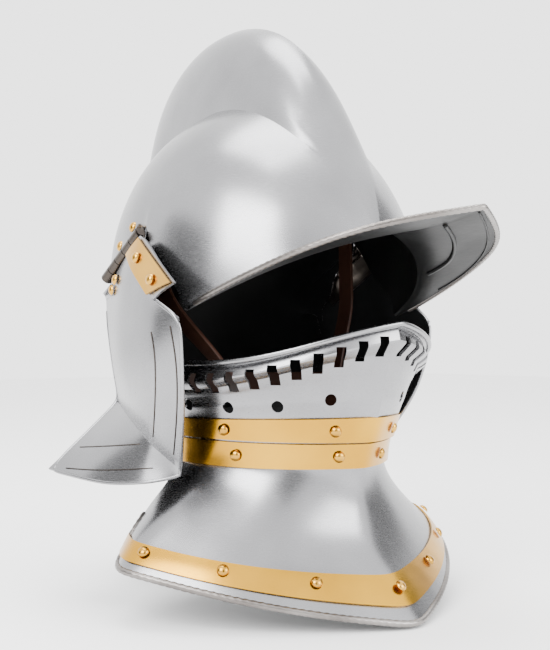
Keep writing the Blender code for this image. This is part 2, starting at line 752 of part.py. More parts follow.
def build_front(profile):
    name = "buffe_upper_lame"
    places = [0.0, 0.12, 0.28, 0.55, 0.9, 1.15, 2.0, 3.0, 3.9]
    rows = front_rows(places, 0.0, LAME_RELIEF)
    lame = front_sheet(name, rows, WALL, steel(name))
    boolean(lame, lame_cutters(rows[0]), "DIFFERENCE")
    lame_tree = surface_of(rows, (0, 0, rows[0][0].z))

    under = RELIEF * LAME_RELIEF[-1][1]
    lift = BAND_GAP + BRASS_THICKNESS
    name = "brass_band_upper"
    rows = front_rows([3.0, 3.5, 3.95], under + lift)
    front_sheet(name, rows, BRASS_THICKNESS, brass(name))
    band_rivets("band_upper", rows, UPPER_BAND_RIVETS, profile)

    under -= WALL + BAND_GAP
    name = "buffe_middle_lame"
    front_sheet(name, front_rows([3.5, 4.06, 4.5, 4.93], under), WALL, steel(name))
    name = "brass_band_lower"
    rows = front_rows([4.06, 4.5, 4.97], under + lift)
    front_sheet(name, rows, BRASS_THICKNESS, brass(name))
    band_rivets("band_lower", rows, LOWER_BAND_RIVETS, profile)

    under -= WALL + BAND_GAP
    name = "gorget_plate"
    border = [9.45, 9.95, 10.5]
    places = [4.5, 5.0] + spread(5.7, 8.9, 5) + border + [11.0]
    front_sheet(name, front_rows(places, under), WALL, steel(name))
    name = "gorget_border"
    rows = front_rows([8.9] + border + [11.0], under + lift)[1:-1]
    front_sheet(name, rows, BRASS_THICKNESS, brass(name))
    band_rivets("border", rows, BORDER_RIVETS, profile)
    return lame_tree


def build_straps(skull_tree, lame_tree, profile):
    name = "chin_strap"
    chin = ribbon(name, CHIN_STRAP_ROUTE, STRAP_WIDTH, STRAP_THICKNESS, leather(name),
                  lambda p: (p.x, 0, max(p.z, -0.02) * 0.3 + (p.z if p.z < -0.02 else 0)))

    name = "nape_strap"
    left = []
    for back in NAPE_STRAP_SEATS:
        place, inward = seat_on(lame_tree, (0, back, NAPE_STRAP_LEVEL), (1, 0, 0))
        left.append(place + inward * (WALL + NAPE_STRAP_CLEAR))
    behind = []
    for degrees in NAPE_STRAP_TURNS:
        turn = math.radians(degrees)
        away = Vector((math.cos(turn), math.sin(turn), 0))
        place, _ = seat_on(skull_tree, (0, 0.02, NAPE_STRAP_LEVEL), away)
        behind.append(place - away * (WALL + NAPE_STRAP_HANG))
    route = left + behind + [Vector((-p.x, p.y, p.z)) for p in reversed(left)]

    def lean(point):
        if point.y < 0.01:
            return lame_tree.find_nearest(point)[1]
        return Vector((point.x, point.y - 0.02, 0))
    nape = ribbon(name, route, NAPE_STRAP_WIDTH, STRAP_THICKNESS, leather(name), lean)

    for obj, spot in ((chin, CHIN_STRAP_ROUTE[0]), (nape, route[0])):
        tree = BVHTree.FromPolygons([v.co for v in obj.data.vertices],
                                    [f.vertices for f in obj.data.polygons])
        label = obj.name.split("_")[0]
        level = spot[2] - (0.007 if obj == chin else 0.0)
        back = spot[1] + (0.0 if obj == chin else 0.0042)
        add_rivet(f"rivet_{label}_strap_left", tree, (0, back, level), (1, 0, 0), profile)
        add_rivet(f"rivet_{label}_strap_right", tree, (0, back, level), (-1, 0, 0), profile)


def main():
    global PARTS, CUTTERS
    clear_scene()
    PARTS = make_collection("burgonet")
    CUTTERS = make_collection("cutters")
    profile = rivet_mesh()

    rows = skull_rows()
    sheet("skull", rows, WALL, steel("skull"))
    skull_tree = surface_of(rows)
    build_cheek(-1, "right", skull_tree, profile)
    build_cheek(1, "left", skull_tree, profile)
    lame_tree = build_front(profile)

    build_straps(skull_tree, lame_tree, profile)


main()
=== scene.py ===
# %% [markdown]
# A burgonet in polished steel and brass.
# The helmet is a reproduction of a light cavalry helmet: a skull with a tall comb and a long peak,
# cheek pieces on hinges, and a pierced chin guard that stands on a flared neck guard.
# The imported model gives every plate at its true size. It could be rebuilt from nothing here, but
# then plates and hinges might drift apart, so each plate starts as a copy of its packed one and
# gets the smooth curves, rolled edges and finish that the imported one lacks.

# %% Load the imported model
import math

import bmesh
import bpy
from mathutils import Matrix, Vector


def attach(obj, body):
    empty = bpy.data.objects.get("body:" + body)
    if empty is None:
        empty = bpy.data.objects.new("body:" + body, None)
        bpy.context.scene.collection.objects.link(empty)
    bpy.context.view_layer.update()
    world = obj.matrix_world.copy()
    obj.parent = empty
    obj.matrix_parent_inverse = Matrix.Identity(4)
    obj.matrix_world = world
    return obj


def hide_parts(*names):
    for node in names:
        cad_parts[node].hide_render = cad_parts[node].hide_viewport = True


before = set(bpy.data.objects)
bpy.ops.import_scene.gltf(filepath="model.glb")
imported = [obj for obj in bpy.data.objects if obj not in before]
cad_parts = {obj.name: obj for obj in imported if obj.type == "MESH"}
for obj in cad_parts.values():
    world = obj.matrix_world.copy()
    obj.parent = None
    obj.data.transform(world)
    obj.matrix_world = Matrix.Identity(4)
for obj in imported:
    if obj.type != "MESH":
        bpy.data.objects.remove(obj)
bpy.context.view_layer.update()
print("packed pieces:", len(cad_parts))

# %% [markdown]
# The camera comes first, because every comparison with the photograph depends on it. A camera can
# be set by eye or worked out from points on the object. Here it was worked out: it stands three
# quarters of a metre away, level with the face, 40 degrees round to the wearer's right. A short
# distance like this makes the near cheek piece look larger than the far one.

# %% Camera
camera_at = Vector((-0.48298, -0.58862, -0.03556))
looks_at = Vector((0.0, -0.01504, -0.02334))
camera_turn = (looks_at - camera_at).to_track_quat("-Z", "Y").to_euler()
bpy.ops.object.camera_add(location=camera_at, rotation=camera_turn)
camera = bpy.context.object
camera.data.sensor_width = 36
camera.data.lens = 57.77
bpy.context.scene.camera = camera
print("distance to the helmet:", round((looks_at - camera_at).length, 3), "m")


# %% [markdown]
# Blender's operators work on what is selected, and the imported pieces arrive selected, so one
# helper selects a single object first. Colours are written as sRGB hex values, as on a paint
# chart, and one function turns them to the linear values that a shader needs. The last helper
# adds a node with its settings and links, because every finish below is made of nodes.

# %% Selection, colour and node helpers
def only(obj):
    """Select one object and make it the active one."""
    bpy.ops.object.select_all(action="DESELECT")
    obj.select_set(True)
    bpy.context.view_layer.objects.active = obj


def linear(colour):
    """Linear colour with alpha from an sRGB hex value."""
    values = [int(colour[i:i + 2], 16) / 255 for i in (0, 2, 4)]
    return (*[v / 12.92 if v <= 0.04045 else ((v + 0.055) / 1.055) ** 2.4 for v in values], 1.0)


def add_node(material, kind, settings=None, **links):
    """Add a node, set its properties and unlinked inputs, and link the named inputs."""
    tree = material.node_tree
    node = tree.nodes.new(kind)
    for key, value in (settings or {}).items():
        if hasattr(node, key):
            setattr(node, key, value)
        else:
            node.inputs[key].default_value = value
    for key, source in links.items():
        tree.links.new(source, node.inputs[key.replace("_", " ")])
    return node


# %% [markdown]
# Polished metal shows the room more than itself, so the light decides how it looks. A photographer
# surrounds such a piece with white cloth and leaves a few dark gaps, which draw the dark edges
# that describe its shape. The same is done here with a pale world, large soft lights and three
# grey cards. Black cards would draw the edges harder, but they show in the polish as holes.

# %% Floor and pale room
FLOOR_LEVEL = -0.2125
ROOM_BRIGHTNESS = 3.0
bpy.ops.mesh.primitive_plane_add(size=8, location=(0, 0, FLOOR_LEVEL))
floor = bpy.context.object
floor.name = "studio_floor"
paper = bpy.data.materials.new("white_studio_paper")
paper.use_nodes = True
paper.node_tree.nodes["Principled BSDF"].inputs["Base Color"].default_value = linear("F4F4F4")
paper.node_tree.nodes["Principled BSDF"].inputs["Roughness"].default_value = 0.9
floor.data.materials.append(paper)

world = bpy.data.worlds.new("white_studio")
bpy.context.scene.world = world
world.use_nodes = True
world.node_tree.nodes["Background"].inputs["Color"].default_value = linear("FFFFFF")
world.node_tree.nodes["Background"].inputs["Strength"].default_value = ROOM_BRIGHTNESS
print("floor at", FLOOR_LEVEL, "m")


# %% Soft boxes
def soft_box(name, place, size, power):
    """A square area light that faces the helmet."""
    aim = (Vector((0, 0, 0)) - Vector(place)).to_track_quat("-Z", "Y").to_euler()
    bpy.ops.object.light_add(type="AREA", location=place, rotation=aim)
    lamp = bpy.context.object
    lamp.name = name
    lamp.data.size = size
    lamp.data.energy = power
    print(name, power, "W")


soft_box("key_left", (-1.3, -0.5, 0.9), 1.0, 45)
soft_box("top", (0.0, 0.1, 1.6), 1.0, 30)
soft_box("fill_front", (0.5, -1.5, 0.5), 0.8, 20)


# %% Grey cards
card_paper = bpy.data.materials.new("grey_card")
card_paper.use_nodes = True
card_surface = card_paper.node_tree.nodes["Principled BSDF"]
card_surface.inputs["Base Color"].default_value = linear("5A5A5A")
card_surface.inputs["Roughness"].default_value = 1.0


def grey_card(name, place, width, height):
    """A grey card that shows in the polish and not in the picture."""
    aim = (Vector((0, 0, 0)) - Vector(place)).to_track_quat("Z", "Y").to_euler()
    bpy.ops.mesh.primitive_plane_add(size=1, location=place, rotation=aim)
    card = bpy.context.object
    card.name = name
    bpy.ops.transform.resize(value=(width, height, 1), orient_type="LOCAL")
    card.data.materials.append(card_paper)
    card.visible_camera = False
    print(name, width, "by", height, "m")


grey_card("card_behind_camera", (-0.75, -1.25, 0.1), 0.6, 1.5)
grey_card("card_right", (1.3, -0.4, 0.2), 0.7, 1.2)
grey_card("card_left_rear", (-1.3, 0.45, 0.1), 0.9, 1.4)

# %% [markdown]
# The plates are mild steel sheet, planished and then polished with an abrasive wheel. That leaves
# a bright satin with fine scratches. It could be one grey metal, but then it looks like plastic
# foil, so a long thin noise breaks the gloss along the direction of the wheel. Real scratches are
# hundredths of a millimetre apart. Here they are 0.4 mm apart and 4 mm long, as fine as still
# shows, and patches of tone 55 mm across stand for the hammer's uneven work.

# %% A metal with drawn scratches
SCRATCH_DEPTH = 0.00002
PATCHES_PER_METRE = 18.0


def brushed_metal(name, colour, dark, rough, stretch, bump=0.25):
    """A metal with fine drawn scratches, stretch being their frequency per metre on each axis."""
    metal = bpy.data.materials.new(name)
    metal.use_nodes = True
    shader = metal.node_tree.nodes["Principled BSDF"]
    shader.inputs["Metallic"].default_value = 1.0
    place = add_node(metal, "ShaderNodeTexCoord").outputs["Object"]
    drawn = add_node(metal, "ShaderNodeMapping", {"Scale": stretch}, Vector=place).outputs["Vector"]
    grain = add_node(metal, "ShaderNodeTexNoise", {"Scale": 1.0, "Detail": 4.0},
                     Vector=drawn).outputs["Fac"]
    cloud = add_node(metal, "ShaderNodeTexNoise", {"Scale": PATCHES_PER_METRE, "Detail": 3.0},
                     Vector=place).outputs["Fac"]
    tone = add_node(metal, "ShaderNodeValToRGB", Fac=cloud)
    tone.color_ramp.elements[0].position, tone.color_ramp.elements[1].position = 0.3, 0.7
    tone.color_ramp.elements[0].color = linear(dark)
    tone.color_ramp.elements[1].color = linear(colour)
    metal.node_tree.links.new(tone.outputs["Color"], shader.inputs["Base Color"])
    gloss = add_node(metal, "ShaderNodeMapRange", {"To Min": rough - 0.06, "To Max": rough + 0.08},
                     Value=grain)
    metal.node_tree.links.new(gloss.outputs["Result"], shader.inputs["Roughness"])
    relief = add_node(metal, "ShaderNodeBump", {"Strength": bump, "Distance": SCRATCH_DEPTH},
                      Height=grain)
    metal.node_tree.links.new(relief.outputs["Normal"], shader.inputs["Normal"])
    print(name, "roughness about", rough)
    return metal


# %% [markdown]
# The plates are bright and even. The hinge is the same steel left as it was rolled, so it is dark
# and worn. The roped edges are filed and not polished, so they are dull and darker, in grimy
# patches.
# The bands are brushed brass sheet. The rivet heads are hammered and polished on their own, so
# they are a little brighter and shinier than the sheet under them.

# %% Steels and brasses
steel = brushed_metal("mild_steel_satin_polished", "919193", "838385", 0.25, (240, 240, 2600), 0.05)
hinge_steel = brushed_metal("mild_steel_rolled_hinge", "4C4641", "2A2522", 0.30, (1500, 300, 300))
roped_steel = brushed_metal("mild_steel_filed_edge", "918D8A", "5F5955", 0.34, (900, 900, 900), 1.0)
brass = brushed_metal("brass_sheet_brushed", "CA982B", "B28121", 0.23, (260, 260, 2400), 0.08)
rivet_brass = brushed_metal("brass_rivet_polished", "CFA045", "A2741F", 0.20, (500, 500, 500))


# %% [markdown]
# The inside is painted against rust with a semi-gloss black. Brushed paint is never quite even,
# so a soft noise changes its gloss. The straps are plain oiled leather with a grain of about a
# millimetre. Both are dull coats with a rounded grain, so one function makes them.

# %% Black paint and leather
def painted(name, colour, rough, grain_size, depth):
    """A coating or hide with a rounded grain of the given size in metres."""
    coat = bpy.data.materials.new(name)
    coat.use_nodes = True
    shader = coat.node_tree.nodes["Principled BSDF"]
    shader.inputs["Specular IOR Level"].default_value = 0.18
    place = add_node(coat, "ShaderNodeTexCoord").outputs["Object"]
    grain = add_node(coat, "ShaderNodeTexVoronoi", {"Scale": 1 / grain_size},
                     Vector=place).outputs["Distance"]
    cloud = add_node(coat, "ShaderNodeTexNoise", {"Scale": 35.0, "Detail": 5.0},
                     Vector=place).outputs["Fac"]
    tone = add_node(coat, "ShaderNodeValToRGB", Fac=cloud)
    tone.color_ramp.elements[0].color = linear(colour[0])
    tone.color_ramp.elements[1].color = linear(colour[1])
    coat.node_tree.links.new(tone.outputs["Color"], shader.inputs["Base Color"])
    gloss = add_node(coat, "ShaderNodeMapRange", {"To Min": rough - 0.1, "To Max": rough + 0.12},
                     Value=cloud)
    coat.node_tree.links.new(gloss.outputs["Result"], shader.inputs["Roughness"])
    relief = add_node(coat, "ShaderNodeBump", {"Strength": 0.4, "Distance": depth}, Height=grain)
    coat.node_tree.links.new(relief.outputs["Normal"], shader.inputs["Normal"])
    print(name, "grain", grain_size * 1000, "mm")
    return coat


black_paint = painted("black_enamel_brushed", ("040404", "0D0E0F"), 0.42, 0.004, 0.0001)
leather = painted("leather_oiled_brown", ("24140E", "3A2218"), 0.5, 0.0011, 0.00015)


# %% [markdown]
# A packed plate is a mesh of loose triangles. To smooth it, a copy is merged, its triangles are
# paired into quads, and its sharp edges are creased, so that a subdivision surface rounds the
# plate and keeps its rim. The faces inside are told apart by their direction and painted black.

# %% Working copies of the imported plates
WELD = 0.00001
PAIR_ANGLE, PAIR_SKEW = math.radians(50), math.radians(70)


def merged_copy(node, name):
    """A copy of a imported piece, merged and paired into quads."""
    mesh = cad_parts[node].data.copy()
    mesh.name = name
    mesh.materials.clear()
    piece = bpy.data.objects.new(name, mesh)
    bpy.context.scene.collection.objects.link(piece)
    only(piece)
    bpy.ops.mesh.customdata_custom_splitnormals_clear()
    bpy.ops.object.mode_set(mode="EDIT")
    bpy.ops.mesh.select_all(action="SELECT")
    bpy.ops.mesh.remove_doubles(threshold=WELD)
    bpy.ops.mesh.tris_convert_to_quads(face_threshold=PAIR_ANGLE, shape_threshold=PAIR_SKEW)
    bpy.ops.mesh.select_all(action="DESELECT")
    bpy.ops.object.mode_set(mode="OBJECT")
    return piece


# %% Creases and smoothing
LEVELS = 2


def crease(piece, sharp, value=1.0, chosen=None):
    """Crease the edges that turn by more than an angle in degrees, all or the chosen ones."""
    only(piece)
    bpy.ops.object.mode_set(mode="EDIT")
    bpy.ops.mesh.select_all(action="DESELECT")
    bpy.ops.mesh.select_mode(type="EDGE")
    bpy.ops.mesh.edges_select_sharp(sharpness=math.radians(sharp))
    if chosen:
        shell = bmesh.from_edit_mesh(piece.data)
        for edge in shell.edges:
            if edge.select and not chosen(edge):
                edge.select_set(False)
        bmesh.update_edit_mesh(piece.data)
    bpy.ops.transform.edge_crease(value=value)
    bpy.ops.mesh.select_all(action="DESELECT")
    bpy.ops.object.mode_set(mode="OBJECT")


def smooth(piece, sharp=38):
    """Round the plate with a subdivision surface and smooth its shading up to an angle."""
    only(piece)
    bpy.ops.object.modifier_add(type="SUBSURF")
    piece.modifiers[-1].levels = piece.modifiers[-1].render_levels = LEVELS
    bpy.ops.object.modifier_apply(modifier=piece.modifiers[-1].name)
    bpy.ops.object.shade_smooth_by_angle(angle=math.radians(sharp))


# %% Paint towards the neck
INWARD = -0.2


def paint_inside(piece):
    """Steel, and black paint on the faces that look towards the upright middle line."""
    piece.data.materials.append(steel)
    piece.data.materials.append(black_paint)
    for face in piece.data.polygons:
        away = Vector((face.center.x, face.center.y, 0)).normalized()
        face.material_index = 1 if face.normal.dot(away) < INWARD else 0
    print(piece.name, "faces inside:", sum(f.material_index for f in piece.data.polygons))


# %% [markdown]
# The free edges of the plates are rolled over a wire, and on the peak and the neck guard the roll
# is filed into a rope. An edge could be bevelled, but a bevel is too thin to catch the light as a
# roll does. So the narrow faces of a plate's edge are followed as far as the edge is free, and a
# tube is laid along their middle. Its radius swells in a slow spiral where the roll is roped.

# %% Surfaces of a plate
FOLD = 0.9
EDGE_WIDTH = 0.0025


def surfaces(shell):
    """Sets of faces that meet at less than the fold angle, each with its mean width."""
    left, found = set(shell.faces), []
    while left:
        stack, group = [left.pop()], set()
        while stack:
            face = stack.pop()
            group.add(face)
            for edge in face.edges:
                for other in edge.link_faces:
                    if other in left and edge.calc_face_angle(math.pi) < FOLD:
                        left.discard(other)
                        stack.append(other)
        border = sum(e.calc_length() for f in group for e in f.edges
                     if any(other not in group for other in e.link_faces))
        found.append((group, 2 * sum(f.calc_area() for f in group) / max(border, 1e-6)))
    return found


def outwardness(group, inside):
    """Above zero where a set of faces looks away from a point inside."""
    return sum(f.normal.dot(f.calc_center_median() - Vector(inside)) * f.calc_area() for f in group)


# %% Paint on the inner surface
def paint_surfaces(piece, inside=(0, 0, 0)):
    """Steel outside and on the edges, black paint on the surface that faces the inside."""
    shell = bmesh.new()
    shell.from_mesh(piece.data)
    piece.data.materials.append(steel)
    piece.data.materials.append(black_paint)
    painted_faces = 0
    for group, width in surfaces(shell):
        if width >= EDGE_WIDTH and outwardness(group, inside) < 0:
            for face in group:
                piece.data.polygons[face.index].material_index = 1
            painted_faces += len(group)
    shell.free()
    print(piece.name, "faces painted black:", painted_faces)


# %% The line of a plate's edge
HALF_WALL = 0.0008


def rim_path(piece, keep, inside=(0, 0, 0)):
    """Points along a plate's outer edge, half a wall deep, in order, as far as keep allows."""
    shell = bmesh.new()
    shell.from_mesh(piece.data)
    outer, edging = set(), set()
    for group, width in surfaces(shell):
        if width < EDGE_WIDTH:
            edging |= group
        elif outwardness(group, inside) > 0:
            outer |= group
    links = {}
    for edge in shell.edges:
        if any(f in outer for f in edge.link_faces) and any(f in edging for f in edge.link_faces):
            a, b = edge.verts
            links.setdefault(a, []).append(b)
            links.setdefault(b, []).append(a)
    ring, seen, vertex = [], set(), next(iter(links))
    while vertex is not None:
        seen.add(vertex)
        normal = sum((f.normal for f in vertex.link_faces if f in outer), Vector()).normalized()
        ring.append(vertex.co - normal * HALF_WALL)
        vertex = next((v for v in links[vertex] if v not in seen), None)
    print(piece.name, "edge points", len(ring), "of", len(links))
    shell.free()
    kept = [keep(point) for point in ring]
    start = next(k for k in range(len(ring)) if kept[k] and not kept[k - 1])
    path = []
    for k in range(len(ring)):
        if not kept[(start + k) % len(ring)]:
            break
        path.append(ring[(start + k) % len(ring)])
    return path


# %% Smooth and even lines
def spline(points, steps=4):
    """The smooth curve that a subdivision surface gives a creased row of points."""
    last = len(points) - 1
    curve = []
    for k in range(last):
        a, b, c, d = (points[max(0, min(last, k + n))] for n in (-1, 0, 1, 2))
        for t in (j / steps for j in range(steps)):
            curve.append(((1 - t) ** 3 * a + (3 * t**3 - 6 * t**2 + 4) * b
                          + (-3 * t**3 + 3 * t**2 + 3 * t + 1) * c + t**3 * d) / 6)
    return [points[0]] + curve[1:] + [points[-1]]


def evenly(points, step):
    """The same line with its points a fixed step apart."""
    result, left = [points[0]], step
    for a, b in zip(points, points[1:]):
        length = (b - a).length
        gone = left
        while gone <= length:
            result.append(a.lerp(b, gone / length))
            gone += step
        left = gone - length
    return result


# %% A rolled or roped edge
STRANDS = 3


def roll(name, points, radius, finish, body, rope=0.0, pitch=0.006, step=0.0025, sides=8):
    """A tube along a line. rope is how far its radius swells and shrinks in a spiral."""
    line = evenly(points, step)
    count = len(line)
    shell = bmesh.new()
    rings = []
    normal = None
    for k, point in enumerate(line):
        along = (line[min(k + 1, count - 1)] - line[max(k - 1, 0)]).normalized()
        normal = along.orthogonal() if normal is None else normal - along * normal.dot(along)
        normal.normalize()
        other = along.cross(normal)
        ring = []
        for n in range(sides):
            turn = math.tau * n / sides
            size = radius * (1 + rope * math.cos(STRANDS * turn - math.tau * k * step / pitch))
            out = normal * math.cos(turn) + other * math.sin(turn)
            ring.append(shell.verts.new(point + out * size))
        rings.append(ring)
    for a, b in zip(rings, rings[1:]):
        for n in range(sides):
            shell.faces.new((a[n], a[(n + 1) % sides], b[(n + 1) % sides], b[n]))
    shell.faces.new(reversed(rings[0]))
    shell.faces.new(rings[-1])
    bmesh.ops.recalc_face_normals(shell, faces=shell.faces)
    mesh = bpy.data.meshes.new(name)
    shell.to_mesh(mesh)
    shell.free()
    mesh.materials.append(finish)
    tube = bpy.data.objects.new(name, mesh)
    bpy.context.scene.collection.objects.link(tube)
    mesh.shade_smooth()
    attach(tube, body)
    print(name, round(count * step * 1000), "mm long")


# %% [markdown]
# Engraved lines and other marks are placed where the photograph shows them. A ray from the camera
# through a point of the picture meets the plate there, and the mirror image of the same line goes
# on the other side. The picture is 550 by 650 points, and the lens gives the ray its direction.

# %% Points of the picture on a plate
PICTURE = (550, 650)
FOCAL = camera.data.lens / camera.data.sensor_width * max(PICTURE)
ahead = (looks_at - camera_at).normalized()
right = ahead.cross(Vector((0, 0, 1))).normalized()
upward = right.cross(ahead)
JUST_OUTSIDE = 0.0002
print("focal length in picture points:", round(FOCAL))


def on_plate(piece, u, v):
    """Where the ray through a point of the picture first meets a piece, just outside it."""
    across, down = u - PICTURE[0] / 2, v - PICTURE[1] / 2
    ray = (ahead * FOCAL + right * across - upward * down).normalized()
    met, place, _, _ = piece.ray_cast(camera_at, ray)
    return place - ray * JUST_OUTSIDE if met else None


def scribed(name, piece, marks, radius, finish, body, mirror_body=None):
    """A fine line along marks of the picture, and its mirror image where a body is given."""
    curve = spline([Vector(mark) for mark in marks], 10)
    line = [place for place in (on_plate(piece, u, v) for u, v in curve) if place]
    roll(name, line, radius, finish, body, step=0.0015, sides=6)
    if mirror_body:
        mirrored = [Vector((-p.x, p.y, p.z)) for p in line]
        roll(name + "_mirror", mirrored, radius, finish, mirror_body, step=0.0015, sides=6)


# %% [markdown]
# The skull is raised from one sheet, and its comb is beaten up from the same metal. It could be
# drawn freely here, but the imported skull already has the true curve, so it is smoothed. The peak
# is black below, like the inside.
# Over each ear the sheet is cut away in an arch, and the hinge barrel lies along it. The packed
# arch stays clear of the barrel so that nothing touches as it turns, which leaves a slit of
# daylight. The real sheet reaches down behind the barrel, so the rim there is drawn down.

# %% Skull and its rim behind the barrels
HINGE_CENTRE = Vector((0, 0.0225, 0.02295))
HINGE_ALONG, HINGE_UP = Vector((0, 0.8264, -0.5631)), Vector((0, 0.5631, 0.8264))
ARCH_FRONT, ARCH_REAR, ARCH_LOW, ARCH_HIGH, ARCH_OUT = -0.030, 0.040, -0.004, 0.0125, 0.088
DRAWN_DOWN, DRAWN_MORE_AT_REAR = 0.009, 0.014


def ramp(value, start, length):
    """A rise from 0 to 1 that begins at start and takes a length."""
    return max(0.0, min(1.0, (value - start) / length))


skull = merged_copy("skull", "skull_plate")
drawn = 0
for vertex in skull.data.vertices:
    offset = vertex.co - HINGE_CENTRE
    reach, height = offset.dot(HINGE_ALONG), offset.dot(HINGE_UP)
    if (abs(vertex.co.x) > ARCH_OUT and ARCH_FRONT < reach < ARCH_REAR
            and ARCH_LOW < height < ARCH_HIGH):
        drop = DRAWN_DOWN * ramp(reach, ARCH_FRONT, 0.010)
        drop += DRAWN_MORE_AT_REAR * ramp(reach, 0.006, 0.012)
        vertex.co -= HINGE_UP * drop
        drawn += 1
print("points drawn down behind the barrels:", drawn)

# %% [markdown]
# A subdivision surface would melt the line where the comb rises from the dome. The plate's edge
# is creased fully, and this hollow line almost fully, so that it stays crisp but not cut. The
# crest is left to the subdivision surface, because a creased crest breaks into steps.

# %% Skull finish
FOOT_LEVEL, COMB_REACH = 0.035, 0.036
EDGE_TURN, FOOT_TURN, FOOT_HOLD = 26, 13, 0.9
PEAK_AHEAD_OF, NAPE_BEHIND, NAPE_BELOW = -0.050, 0.045, -0.052
SKULL_SHADING = 16


def comb_foot(edge):
    """Whether an edge lies in the hollow line at the foot of the comb."""
    low = min(vertex.co.z for vertex in edge.verts)
    wide = max(abs(vertex.co.x) for vertex in edge.verts)
    return not edge.is_convex and low >= FOOT_LEVEL and wide <= COMB_REACH


peak_rim = rim_path(skull, lambda p: p.y < PEAK_AHEAD_OF)
nape_rim = rim_path(skull, lambda p: p.y > NAPE_BEHIND and p.z < NAPE_BELOW)
crease(skull, EDGE_TURN)
crease(skull, FOOT_TURN, FOOT_HOLD, comb_foot)
paint_surfaces(skull)
smooth(skull, SKULL_SHADING)
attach(skull, "skull")
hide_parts("skull")
roll("peak_roped_edge", spline(peak_rim), 0.0019, roped_steel, "skull",
     rope=0.10, pitch=0.0045, step=0.0010, sides=10)
roll("nape_rolled_edge", spline(nape_rim), 0.0017, steel, "skull")

# %% [markdown]
# Under the peak a fine black line follows the border, and a broad dark curve crosses it.
# A pattern in the material would have to be fitted to the plate by trial, so each is a low bead
# of black paint instead, which falls in its place along the marks of the picture.

# %% Lines under the peak
BORDER_BEAD, DARK_CURVE_BEAD = 0.0007, 0.0016
BORDER_MARKS = ((479, 212), (482, 217), (489, 232), (487, 252), (464, 275), (438, 290))
# The second bead is laid along a broad dark curve across the underside.
DARK_CURVE_MARKS = ((445, 225), (456, 240), (454, 256), (443, 266), (427, 274))
scribed("peak_border_line", skull, BORDER_MARKS, BORDER_BEAD, black_paint, "skull")
scribed("peak_dark_curve_line", skull, DARK_CURVE_MARKS, DARK_CURVE_BEAD, black_paint, "skull")

# %% [markdown]
# A cheek piece is a bent plate with a flared skirt. Two fine lines run down its front and two
# across the skirt. They could be a pattern in the material, but a line that catches the light
# from every side has to be real, so a thin bead follows each of them. The bead on the front fold
# is partly the real fold and partly painted shade: its dark steel stands for the fold's shade.

# %% Cheek pieces
BY_THE_CHEEK = (0, 0.03, -0.03)
CHEEK_TURN, CHEEK_FREE_BELOW, CHEEK_ROLL, FINE_BEAD = 28, -0.006, 0.0013, 0.00045
# The fold line is a real fold, and its dark steel is painted shade from the step of the fold.
LINE_MARKS = {"cheek_fold_shade_line": ((151, 332), (155, 353), (155.7, 391), (153, 437)),
              "cheek_border_line": ((170, 326), (177, 363), (177.5, 410), (173.5, 455)),
              "skirt_upper_line": ((80, 447), (110, 446), (140, 444)),
              "skirt_lower_line": ((66, 468), (101, 471), (155, 468))}
for side in ("right", "left"):
    cheek = merged_copy(f"cheek_piece_{side}", f"cheek_plate_{side}")
    rim = rim_path(cheek, lambda p: p.z < CHEEK_FREE_BELOW, BY_THE_CHEEK)
    crease(cheek, CHEEK_TURN)
    paint_surfaces(cheek, BY_THE_CHEEK)
    smooth(cheek)
    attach(cheek, f"cheek_{side}")
    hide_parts(f"cheek_piece_{side}")
    roll(f"cheek_rolled_edge_{side}", spline(rim), CHEEK_ROLL, steel, f"cheek_{side}")
    if side == "right":
        for name, marks in LINE_MARKS.items():
            scribed(name, cheek, marks, FINE_BEAD, hinge_steel, "cheek_right", "cheek_left")

# %% [markdown]
# The upper lame of the chin guard has a row of slots and a row of round breaths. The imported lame
# has them too, but its long thin triangles can't be smoothed. So this lame is made again: a fine
# grid is laid over the same curved sections, pushed out and in for the ridge that runs through
# the slots, given its wall, and pierced with one set of cutters. Its brass bands and its middle
# lame come later.

# %% Sections of the upper lame
# Each row: drop, reach, half width and setback, side drop, and how full the bend is outwards
# and forwards, as shares of the sizes below.
WALL = 0.0016
DROP, REACH, WIDTH, REAR, REAR_DRAW = 0.2055, 0.138, 0.092, 0.029, 0.086
LAME_SECTIONS = (
    (0.115, 1.000, 1.000, 0.178, 0.240, 0.90, 0.85),
    (0.204, 0.969, 0.989, 0.178, 0.325, 0.90, 0.84),
    (0.334, 0.903, 0.935, 0.171, 0.378, 0.88, 0.80),
    (0.410, 0.867, 0.897, 0.157, 0.419, 0.87, 0.78),
    (0.493, 0.820, 0.880, 0.142, 0.481, 0.87, 0.78),
    (0.578, 0.783, 0.886, 0.142, 0.563, 0.87, 0.78))
LAME_RIDGE = ((0.0, 0.6), (0.10, 0.1), (0.20, -0.75), (0.26, -0.75), (0.62, 0.50), (0.70, 0.50),
              (1.06, -1.0), (1.6, -1.0), (2.2, -0.6))
RIDGE_HEIGHT = 0.0030
ROWS, HALF_COLUMNS, REAR_COLUMNS = 60, 44, 8
LOWEST_PLACE, CROWD_AT_LIP = 3.9, 1.25
SWEEP_AT_LIP, SWEEP_LOST, SWEEP_STEADY = 3.0, 0.9, 2.0


def between(table, key):
    """A value between the rows of a table of keys and values."""
    for (k0, v0), (k1, v1) in zip(table, table[1:]):
        if key <= k1:
            return v0 + (v1 - v0) * (key - k0) / (k1 - k0)
    return table[-1][1]


def section(place):
    """The seven values of the lame's section at a place down the plate."""
    last = len(LAME_SECTIONS) - 1
    start = min(int(place), last - 1)
    t = place - start
    a, b, c, d = (LAME_SECTIONS[max(0, min(last, start + n))] for n in (-1, 0, 1, 2))
    return [(2 * t**3 - 3 * t**2 + 1) * q + (t**3 - 2 * t**2 + t) * (r - p) / 2
            + (3 * t**2 - 2 * t**3) * r + (t**3 - t**2) * (w - q) / 2
            for p, q, r, w in zip(a, b, c, d)]


